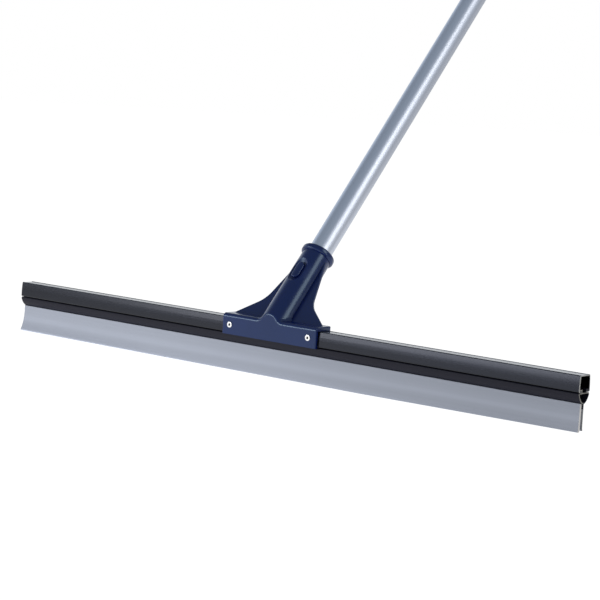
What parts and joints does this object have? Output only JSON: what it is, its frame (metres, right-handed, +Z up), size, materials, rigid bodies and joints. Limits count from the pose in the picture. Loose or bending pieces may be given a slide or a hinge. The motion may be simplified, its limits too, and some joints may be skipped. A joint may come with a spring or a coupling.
{
  "type": "floor squeegee",
  "caption": "Floor squeegee: long rail with a slide-in cassette of twin rubber lips, and a riveted moulded bracket holding a leaning tube handle locked by a push button.",
  "frame": {"origin": "middle of the working edge, on the floor, where the lips meet it", "axes": "+X along the head to the right, +Y to the rear, towards the leaning handle, +Z up"},
  "size_m": [0.75, 0.9566, 1.1129],
  "materials": {
    "dark_anodised_aluminium": "dark slate anodised extrusion, satin, with fine lines along it",
    "charcoal_plastic": "extruded, satin",
    "grey_lip_rubber": "smooth matt rubber, light bluish grey",
    "navy_plastic": "moulded, satin navy",
    "rivet_aluminium": "bright",
    "dark_steel": "broken end, dull",
    "satin_aluminium": "natural anodised, satin, drawn along the tube",
    "spring_steel": "rolled strip",
    "black_plastic": "moulded",
    "grip_rubber": "matt, finely textured"
  },
  "bodies": {
    "frame": {"rail": "dark_anodised_aluminium", "handle_bracket": "navy_plastic", "front_rivets": "rivet_aluminium", "front_rivet_mandrels": "dark_steel", "rear_rivets": "rivet_aluminium", "rear_rivet_mandrels": "dark_steel", "handle_tube": "satin_aluminium", "lock_spring": "spring_steel", "tube_plug": "black_plastic", "hand_grip": "grip_rubber", "hanging_cap": "navy_plastic"},
    "button": {"lock_button": "navy_plastic"},
    "cassette": {"blade_cassette": "charcoal_plastic", "front_lip": "grey_lip_rubber", "rear_lip": "grey_lip_rubber"}
  },
  "joints": [
    {"name": "lock_press", "type": "slide", "parent": "frame", "child": "button", "axis": [0, 0.7466, -0.6652], "range_m": [0, 0.0038], "stiffness_N_per_m": 1500, "deforming": ["lock_spring"]},
    {"name": "cassette_slide", "type": "slide", "parent": "frame", "child": "cassette", "axis": [1, 0, 0], "range_m": [0, 0.75]}
  ]
}
